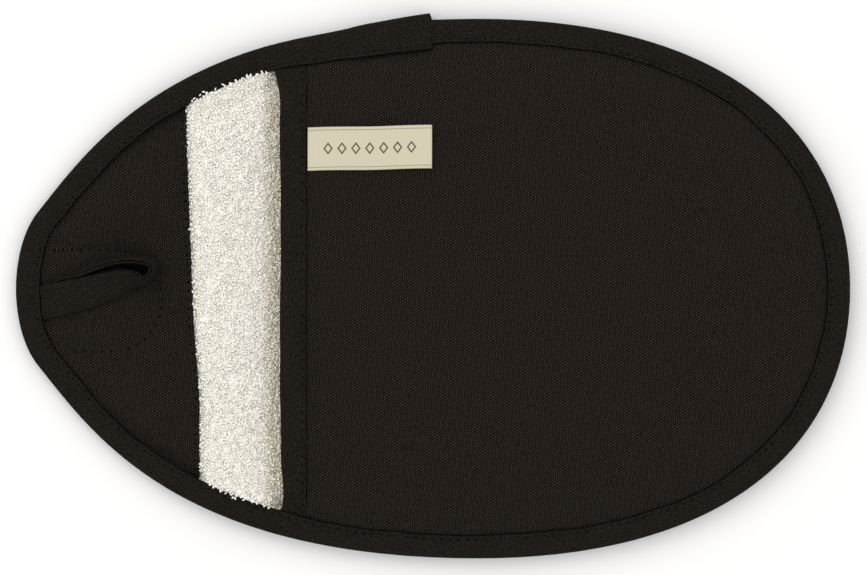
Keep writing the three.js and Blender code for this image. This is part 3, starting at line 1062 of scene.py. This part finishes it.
class MITT_OT_facing(MittPiece, bpy.types.Operator):
    """Lay the canvas facing over the tip, with its turned edge and the magnet's pouch"""

    bl_idname = "mitt.facing"
    bl_label = "Tip Facing"

    def execute(self, context):
        sizes = self.sizes
        edge = Vector((facing_edge(0, 0), 0, 0))
        away = Vector((math.cos(FACING_LEAN), math.sin(FACING_LEAN), 0))
        bm = cut_sheet(3, 1.7 * MM, [(edge, away)], FACING_LEAN, edge.xy)
        drape(bm, surface_of_frame("tip_facing"), top_of, 8)
        piece = piece_from(bm, "tip_facing_cloth")
        line = KDTree(400)
        for k, (x, y) in enumerate(pouch_path(400)):
            line.insert((x, y, 0), k)
        line.balance()

        def to_line(x, y):
            return line.find((x, y, 0))[2]

        def seam(x, y):
            held = RIM.depth_at(x, y) < SEAM_MARGIN or facing_edge(0, y) - x < 3 * MM
            return 1.0 if held or to_line(x, y) < 1.0 * MM else 0.0

        settle(piece, seam, sizes, 0.8 * MM)
        past = past_tape(sizes)

        def shape(x, y, z):
            groove = -0.6 * MM * math.exp(-((to_line(x, y) / (1.1 * MM)) ** 2))
            away = facing_edge(0, y) - x
            turned = 0.3 * MM * (1 - float(steps(5 * MM, 7 * MM, away)))
            sewn = -0.3 * MM * math.exp(-(((away - sizes.stitch_inset) / (0.8 * MM)) ** 2))
            middle = math.hypot(x - POUCH_CENTRE.x, y - POUCH_CENTRE.y)
            disc = 0.4 * MM * (1 - float(steps(10.5 * MM, 15.5 * MM, middle)))
            pinch = 0.0 if RIM.depth_at(x, y) < SEAM_MARGIN else 1.0
            bow = facing_bow(y) * (1 - float(steps(0, 25 * MM, away)))
            return bow, 0, (groove + turned + sewn + disc) * pinch + valley(past(x, y))

        move_points(piece, shape)
        finish_canvas(piece, sizes, "tip_facing")
        return {"FINISHED"}


class MITT_OT_front_cover(MittPiece, bpy.types.Operator):
    """Stretch the canvas over the pocket front"""

    bl_idname = "mitt.front_cover"
    bl_label = "Front Cover"

    def execute(self, context):
        sizes = self.sizes
        bm = cut_sheet(4, sizes.cloth_cell, [MOUTH_TRIM], 0.0, MOUTH_TRIM[0].xy)
        drape(bm, surface_of_frame("front_canvas"), top_of, 8)
        piece = piece_from(bm, "front_cover")

        def seam(x, y):
            lapped = y > 0 and x < 3 * MM
            wide = 13.5 * MM if lapped else SEAM_MARGIN
            return 1.0 if RIM.depth_at(x, y) < wide or x < -45.5 * MM else 0.0

        settle(piece, seam, sizes, 1.1 * MM)
        past = past_tape(sizes)
        move_points(piece, lambda x, y, z: (0, 0, valley(past(x, y))))
        finish_canvas(piece, sizes, "front_canvas")
        return {"FINISHED"}


class MITT_OT_edge_binding(MittPiece, bpy.types.Operator):
    """Fold the edge binding round the whole outline, with its lapped end"""

    bl_idname = "mitt.edge_binding"
    bl_label = "Edge Binding"

    def execute(self, context):
        sizes = self.sizes
        tops = self.leg_tops()
        widths = tape_widths(sizes)
        laps = lap_ramp(-40 * MM, -22 * MM) * sizes.lap_rise
        profile = np.array([self.section(sizes, *v) for v in zip(tops, widths, laps)])
        profile[:, :, 1] += self.lift(sizes, profile, tops)
        holes = np.arange(RIM.count) * EDGE_STITCHES / RIM.count
        pull = needle_pull(sizes, holes)
        self.press(sizes, profile, widths, pull)
        profile[:, :, 0] -= lap_shift()[:, None]
        flat = RIM.points[:, None, :] - RIM.outward[:, None, :] * profile[:, :, :1]
        points = np.concatenate([flat, profile[:, :, 1:]], axis=2)
        points = np.concatenate([points, points[:1]])
        piece = tube_grid("edge_tape", points, RIM.length, (True, True), TURNED_EDGE)
        finish_piece(piece, TAPE, "mitt", "binding_tape", "edge_binding")
        return {"FINISHED"}

    def leg_tops(self):
        """Height of the binding's top at each outline point, without its lap."""
        surface = surface_of_frame("edge_binding")
        tops = []
        for (x, y), (px, py) in zip(RIM.points, RIM.inset(4 * MM)):
            lapped = y > 0 and -26 * MM < x < LAP_X + 2 * MM
            tops.append(np.nan if lapped else top_of(surface, px, py))
        tops = np.array(tops)
        gaps = np.isnan(tops)
        k = np.arange(len(tops))
        tops[gaps] = np.interp(k[gaps], k[~gaps], tops[~gaps])
        return smooth_run(tops, 6)

    def section(self, sizes, top, width, lap):
        """The tape's section as (inset, height): outer side from below to above, then back."""
        t = sizes.tape_thickness
        low_width = sizes.binding_width
        deep = sizes.fold_depth
        inset = sizes.stitch_inset
        beside = [step * MM for step in (-1.2, -0.5, 0.0, 0.5)]  # of a line of stitches
        upper = [
            (4.6 * MM, top),
            *((width - inset + step, top) for step in beside),
            (width - 0.6 * MM, top),
            (width - 0.32 * MM, top - 0.12 * MM),
            (width - 0.02 * MM, top - 0.45 * t),
            (width + 0.1 * MM, top - 0.9 * t),
            (width - 0.5 * MM, top - t),
            (width - inset, top - t),
            (5 * MM, top - t),
        ]
        upper = [(depth, z + lap) for depth, z in upper]
        lower = [
            (5 * MM, t),
            (low_width - inset, t),
            (low_width - 0.5 * MM, t),
            (low_width - 0.1 * MM, 0.85 * t),
            (low_width, 0.45 * t),
            (low_width - 0.1 * MM, 0.12 * MM),
            (low_width - 0.45 * MM, 0),
            *((low_width - inset + step, 0) for step in reversed(beside)),
            (4.6 * MM, 0),
        ]
        round_out = deep + lap * 0.8
        outer = fold(deep, round_out, 0.0, top + lap, 11, 0.75)
        inner = fold(deep, deep - t + lap * 0.8, t, top - t + lap, 7, 0.75, True)
        return outer + upper + inner + lower + outer[:1]

    def lift(self, sizes, profile, tops):
        """How far the upper leg rises over what lies under its wide parts."""
        under = ("front_cover", "tip_facing_cloth", "mouth_tape", "hanging_loop_tape")
        covers = [surface_of_frame("back_terry")]
        covers += [surface_of(name) for name in under]
        shift = lap_shift()
        rise = np.zeros(profile.shape[:2])
        for i, (point, outward) in enumerate(zip(RIM.points, RIM.outward)):
            for j in UPPER_LEG:
                depth = profile[i, j, 0] - shift[i]
                if depth < 6.5 * MM:
                    continue
                x, y = point - outward * depth
                ground = max(top_of(cover, x, y, 0.0) for cover in covers)
                rise[i, j] = max(0.0, ground + GAP + sizes.tape_thickness - tops[i])
        return np.maximum(smooth_run(rise, 5), rise * 0.85)

    def press(self, sizes, profile, widths, pull):
        """Presses the stitch lines in, on top and underneath."""
        for line, side, wide in (
            (profile[:, UPPER_STITCHES], -1, widths[:, None]),
            (profile[:, LOWER_LEG], 1, sizes.binding_width),
        ):
            off = line[:, :, 0] - (wide - sizes.stitch_inset)
            groove = np.exp(-((off / (0.55 * MM)) ** 2)) * pull[:, None]
            outside = line[:, :, 1] < 0.2 * MM if side > 0 else True
            line[:, :, 1] += side * groove * outside * (0.5 if side > 0 else 1)


class MITT_OT_mouth_binding(MittPiece, bpy.types.Operator):
    """Fold the mouth binding over the pocket front's edge"""

    bl_idname = "mitt.mouth_binding"
    bl_label = "Mouth Binding"

    def execute(self, context):
        sizes = self.sizes
        surface = surface_of_frame("mouth_binding")
        rows = 216
        ys = np.linspace(MOUTH_LOW.y - 0.9 * MM, MOUTH_HIGH.y + 0.6 * MM, rows + 1)
        middle = MOUTH_LOW.x + 5 * MM
        reach = MOUTH_HIGH.y - 0.1 * MM
        held = np.clip(ys, -reach, reach)
        highs = ease(np.array([top_of(surface, middle, y) for y in held]), 6)
        lows = ease(np.array([underside_of(surface, middle, y) for y in held]), 6)
        holes = np.arange(rows + 1) * (ys[-1] - ys[0]) / rows / sizes.stitch_pitch
        pull = needle_pull(sizes, holes)
        sections = [self.section(sizes, *v) for v in zip(lows, highs, pull)]
        sway = 0.3 * MM * np.sin(ys / MM / 13) + 0.15 * MM * np.sin(ys / MM / 4.7)
        flare = -2.4 * MM * steps(66 * MM, 83 * MM, ys)
        flare += 0.9 * MM * np.exp(-(((ys + 72 * MM) / (7 * MM)) ** 2))

        depth, z = np.moveaxis(np.array(sections), 2, 0)
        edge = (sway * 0.6 + flare)[:, None] * (1 - depth / (10 * MM))
        points = np.stack([MOUTH_LOW.x + depth + edge, ys[:, None] + 0 * depth, z], axis=2)
        piece = tube_grid("mouth_tape", points, ys[-1] - ys[0], shaded=TURNED_EDGE)
        finish_piece(piece, TAPE, "mitt", "binding_tape", "mouth_binding")
        return {"FINISHED"}

    def section(self, sizes, low, high, pull):
        """The tape's section as (distance from the mouth, height)."""
        t = sizes.tape_thickness
        wide = MOUTH_HIGH.x - MOUTH_LOW.x
        deep = 2.4 * MM
        inset = sizes.stitch_inset

        def leg(z, way):
            """A leg from the fold to its turned edge and back, on the side that way points to."""
            stitched = ((-1.1, 0.0), (-0.5, 0.45), (0.0, 1.0), (0.5, 0.45))
            return [
                (4.4 * MM, z),
                *((wide - inset + step * MM, z - way * pull * share) for step, share in stitched),
                (wide - 0.5 * MM, z),
                (wide - 0.3 * MM, z - way * 0.12 * MM),
                (wide - 0.05 * MM, z - way * 0.45 * t),
                (wide, z - way * 0.9 * t),
                (wide - 0.5 * MM, z - way * t),
                (4.4 * MM, z - way * t),
            ]

        upper = leg(high, 1)
        lower = leg(low, -1)
        outer = fold(deep, deep, low, high, 11, 0.7)
        inner = fold(deep, deep - t, low + t, high - t, 7, 0.7, True)
        return outer + upper + inner + lower[::-1] + outer[:1]


# The hanging loop's tape from its front end round the bend to its back end, as the middle's
# place in millimetres, its turn in degrees (0 flat, 90 on edge), and its width and thickness as
# shares of the tape's. It is pressed narrower where it lies hidden.
LOOP_ROUTE = (
    (-143.7, -5.7, 5.4, 0, 1.0, 0.5),
    (-139.8, -4.9, 6.7, 1, 1.0, 0.7),
    (-132.5, -3.3, 9.6, 5, 1.0, 1.0),
    (-124.3, -1.3, 10.6, 14, 1.0, 1.0),
    (-116.0, 1.1, 11.6, 28, 1.0, 1.0),
    (-111.1, 2.4, 12.7, 42, 1.0, 1.0),
    (-106.7, 2.8, 14.0, 62, 0.98, 1.0),
    (-103.3, 2.5, 14.5, 84, 0.95, 1.0),
    (-100.9, 4.6, 14.4, 83, 0.92, 1.0),
    (-99.5, 7.4, 14.3, 77, 0.92, 1.0),
    (-101.3, 9.9, 14.2, 78, 0.92, 1.0),
    (-107.3, 10.6, 14.2, 83, 0.92, 1.0),
    (-114.0, 9.8, 14.0, 87, 0.9, 1.0),
    (-120.5, 7.5, 12.8, 93, 0.72, 1.0),
    (-127.0, 4.8, 11.0, 98, 0.46, 0.95),
    (-133.5, 0.9, 8.0, 168, 0.5, 0.75),
    (-139.5, -3.6, 5.9, 178, 0.8, 0.6),
    (-143.5, -5.6, 5.35, 180, 0.9, 0.45),
)


def smooth_path(points):
    """A smooth curve through points, with 24 steps between each two."""
    points = [Vector(p) for p in points]
    dense = []
    for k in range(len(points) - 1):
        before, after = points[max(k - 1, 0)], points[min(k + 2, len(points) - 1)]
        a, b = points[k], points[k + 1]
        handles = a + (b - before) / 6, b - (after - a) / 6
        dense += interpolate_bezier(a, *handles, b, 25)[:-1]
    return np.array(dense + points[-1:])


class MITT_OT_hanging_loop(MittPiece, bpy.types.Operator):
    """Sew the hanging loop in at the tip"""

    bl_idname = "mitt.hanging_loop"
    bl_label = "Hanging Loop"

    def execute(self, context):
        sizes = self.sizes
        route = smooth_path([Vector(step[:3]) * MM for step in LOOP_ROUTE])
        knots = np.arange(len(LOOP_ROUTE))
        at = np.linspace(0, knots[-1], len(route))
        shares = read_run([step[3:] for step in LOOP_ROUTE], knots, at)
        along = run_lengths(route)
        even = np.linspace(0, along[-1], 161)
        centre = read_run(route, along, even)
        turns, wides, thicks = ease(read_run(shares, along, even), 12).T
        ahead = np.gradient(centre, axis=0)
        ahead[:, 2] = 0
        ahead /= np.linalg.norm(ahead, axis=1)[:, None]
        left = np.stack([-ahead[:, 1], ahead[:, 0], ahead[:, 2]], axis=1)
        turn = np.radians(turns)[:, None]
        across = left * np.cos(turn) + np.array([[0, 0, 1]]) * np.sin(turn)
        through = np.cross(ahead, across)
        side, face = np.array(self.section(sizes)).T[:, None, :, None]
        points = centre[:, None] + across[:, None] * side * wides[:, None, None]
        points = points + through[:, None] * face * thicks[:, None, None]
        piece = tube_grid("hanging_loop_tape", points, along[-1])
        finish_piece(piece, TAPE, None, "binding_tape", "hanging_loop")
        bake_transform(piece)
        self.sew(sizes, centre, across, through)
        return {"FINISHED"}

    def section(self, sizes):
        """The folded tape's section as (across, through): two plies, open along one edge."""
        half = sizes.loop_width / 2
        t = sizes.loop_thickness / 2
        groove = 0.28 * MM
        creased = ((3.2, 0.5), (2.8, 1.0), (2.4, 0.5))
        top = [
            (-half, 0.0),
            (-half + 0.04 * MM, 0.35 * t),
            (-half + 0.18 * MM, 0.75 * t),
            (-half + 0.5 * MM, t),
            (-half * 0.4, t * 1.05),
            (half - 3.9 * MM, t * 1.05),
            *((half - step * MM, t - groove * share) for step, share in creased),
            (half - 1.6 * MM, t),
            (half - 0.5 * MM, t),
            (half - 0.12 * MM, 0.9 * t),
            (half, 0.6 * t),
            (half - 0.1 * MM, 0.34 * t),
            (half - 0.6 * MM, 0.18 * t),
            (half - 1.4 * MM, 0.0),
        ]
        under = [(side, -face) for side, face in reversed(top[1:-1])]
        return top + under + top[:1]

    def sew(self, sizes, centre, across, through):
        """Sews the folded tape's plies together along its crease, on both faces."""
        side = sizes.loop_width / 2 - 2.8 * MM
        places = []
        for way in (1, -1):
            lift = way * (sizes.loop_thickness / 2 - 0.12 * MM)
            points = centre[3:-50] + across[3:-50] * side + through[3:-50] * lift
            places += stitch_places(points, way * through[3:-50], sizes.stitch_pitch)
        piece = scatter(stitch_shape(sizes, 2.4 * MM, False), places, "hanging_loop_stitches")
        finish_piece(piece, THREAD, None, "thread")
        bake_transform(piece)


class MITT_OT_label(MittPiece, bpy.types.Operator):
    """Lay the woven label on the pocket front, caught under the mouth binding"""

    bl_idname = "mitt.label"
    bl_label = "Label"

    def execute(self, context):
        canvas_top = surface_of("front_cover")
        slope = math.tan(LABEL_LEAN)
        thick = 0.5 * MM
        rows, columns = 60, 24

        def spot(u, v):
            x = LABEL_LOW.x + 0.15 * MM + u * (LABEL_LENGTH - 0.2 * MM)
            lean = (x - LABEL_LOW.x) * slope + 0.1 * MM * math.sin(u * 9)
            return x, LABEL_Y + (v - 0.5) * LABEL_DEPTH + lean

        heights = np.zeros((rows + 1, columns + 1))
        for i, j in np.ndindex(heights.shape):
            heights[i, j] = top_of(canvas_top, *spot(i / rows, j / columns))
        ease(heights, 12)
        wave = np.random.default_rng(3).uniform(0, 6, 3)
        bm = even_grid(rows, columns, lambda u, v: (u * LABEL_LENGTH, v * LABEL_DEPTH))
        for v in bm.verts:
            u, w = v.co.x + 0.5, v.co.y + 0.5
            x, y = spot(u, w)
            free = float(steps(0.0, 0.3, u))
            ripple = 0.12 * MM * math.sin(9 * u + wave[0]) * math.sin(4 * w + wave[1])
            curl = 0.5 * MM * free * u * u + 0.25 * MM * free * (2 * w - 1) ** 4
            z = heights[round(u * rows), round(w * columns)]
            turned = 0.22 * MM * (1 - float(steps(0.05, 0.075, 1 - u)))
            v.co = (x, y, z + GAP * 0.6 + thick + turned + free * (curl + ripple + 0.12 * MM))
        piece = piece_from(bm, "woven_label")
        thicken(piece, thick)
        bake_modifiers(piece)
        finish_piece(piece, RIBBON, None, "label_cloth", "label")
        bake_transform(piece)
        return {"FINISHED"}


class MITT_OT_stitching(MittPiece, bpy.types.Operator):
    """Sew the edge, the mouth, the facing and the magnet's pouch"""

    bl_idname = "mitt.stitching"
    bl_label = "Stitching"

    def execute(self, context):
        sizes = self.sizes
        names = ("edge_tape", "mouth_tape", "tip_facing_cloth")
        edge, mouth, facing = (surface_of(name) for name in names)

        over = tape_widths(sizes) - lap_shift() - sizes.stitch_inset
        under = np.full(RIM.count, sizes.binding_width - sizes.stitch_inset)
        places = self.ring(edge, over, True) + self.ring(edge, under, False)
        self.line("edge_stitches", places, "edge_stitching")

        x = MOUTH_HIGH.x - sizes.stitch_inset
        reach = MOUTH_HIGH.y - 1.5 * MM
        path = [(x, y) for y in np.linspace(-reach, reach, 240)]
        places = self.sewn(mouth, path) + self.sewn(mouth, path, False)
        self.line("mouth_stitches", places, "mouth_stitching")

        ys = np.linspace(-68 * MM, 66 * MM, 200)
        path = [(facing_edge(sizes.stitch_inset, y), y) for y in ys]
        path = [p for p in path if RIM.depth_at(*p) > (10 if p[1] > 0 else 8.4) * MM]
        self.line("facing_stitches", self.sewn(facing, path), "facing_stitching")

        path = [p for p in pouch_path(240) if RIM.depth_at(*p) > 8.5 * MM]
        self.line("pouch_stitches", self.sewn(facing, path), "magnet_stitching")
        return {"FINISHED"}

    def ring(self, surface, insets, above):
        """Stitches between evenly counted holes round the edge."""
        path = RIM.inset(insets)
        path = np.concatenate([path, path[:1]])
        marks = np.linspace(0, RIM.count, EDGE_STITCHES * 2 + 1)
        path = read_run(path, np.arange(RIM.count + 1), marks)
        spots, normals = sewn_spots(surface, path, above)
        return [stitch_place(*s) for s in zip(spots[:-1:2], spots[2::2], normals[1::2])]

    def sewn(self, surface, path, above=True):
        return stitch_places(*sewn_spots(surface, path, above), self.sizes.stitch_pitch)

    def line(self, name, places, node):
        piece = scatter(stitch_shape(self.sizes, 2.5 * MM), places, name)
        finish_piece(piece, THREAD, "mitt", "thread", node)


class MITT_OT_stage(MittPiece, bpy.types.Operator):
    """Set the pale floor, the soft light and the camera"""

    bl_idname = "mitt.stage"
    bl_label = "Floor, Light and Camera"

    def execute(self, context):
        scene = bpy.context.scene
        bm = bmesh.new()
        bmesh.ops.create_grid(bm, x_segments=1, y_segments=1, size=3.0)
        bmesh.ops.translate(bm, verts=bm.verts[:], vec=(0, 0, -0.0001))
        floor = piece_from(bm, "floor")
        floor.data.materials.append(material_of("white_paper_backdrop"))

        world = bpy.data.worlds.new("soft_white_room")
        scene.world = world
        world.use_nodes = True
        background = world.node_tree.nodes["Background"]
        background.inputs["Color"].default_value = (1, 1, 1, 1)
        background.inputs["Strength"].default_value = 1.2

        lamp = bpy.data.lights.new("softbox", "AREA")
        lamp.shape = "SQUARE"
        lamp.size = 1.0
        lamp.energy = 5.0
        softbox = bpy.data.objects.new("softbox", lamp)
        softbox.location = (-0.7, 0.9, 1.3)
        softbox.rotation_euler = (-softbox.location).to_track_quat("-Z", "Y").to_euler()
        scene.collection.objects.link(softbox)

        away = 3.0
        shown = 0.31212
        data = bpy.data.cameras.new("camera")
        data.sensor_width = 36.0
        data.lens = 36.0 * away / shown
        data.clip_end = 20.0
        camera = bpy.data.objects.new("camera", data)
        camera.location = (0.0002, 0.0004, away)
        scene.collection.objects.link(camera)
        scene.camera = camera
        scene.view_settings.view_transform = "Standard"
        return {"FINISHED"}


class MITT_PT_panel(bpy.types.Panel):
    """Lists the mitt's pieces, sizes and colours"""

    bl_label = "Oven Mitt"
    bl_idname = "MITT_PT_panel"
    bl_space_type = "VIEW_3D"
    bl_region_type = "UI"
    bl_category = "Mitt"

    def draw(self, context):
        for operator in OPERATORS:
            self.layout.operator(operator.bl_idname)
        for group in (context.scene.mitt_sizes, context.scene.mitt_colours):
            column = self.layout.column(align=True)
            for name in group.__annotations__:
                column.prop(group, name)


OPERATORS = (
    MITT_OT_back_cover,
    MITT_OT_wadding,
    MITT_OT_magnet,
    MITT_OT_terry,
    MITT_OT_facing,
    MITT_OT_front_cover,
    MITT_OT_mouth_binding,
    MITT_OT_hanging_loop,
    MITT_OT_edge_binding,
    MITT_OT_label,
    MITT_OT_stitching,
    MITT_OT_stage,
)
CLASSES = (MittSizes, MittColours, *OPERATORS, MITT_PT_panel)


def register():
    for cls in CLASSES:
        bpy.utils.register_class(cls)
    bpy.types.Scene.mitt_sizes = PointerProperty(type=MittSizes)
    bpy.types.Scene.mitt_colours = PointerProperty(type=MittColours)


def unregister():
    del bpy.types.Scene.mitt_colours
    del bpy.types.Scene.mitt_sizes
    for cls in reversed(CLASSES):
        bpy.utils.unregister_class(cls)


def main():
    register()
    for operator in OPERATORS:
        group, name = operator.bl_idname.split(".")
        getattr(getattr(bpy.ops, group), name)()
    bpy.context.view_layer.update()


if __name__ == "__main__":
    main()
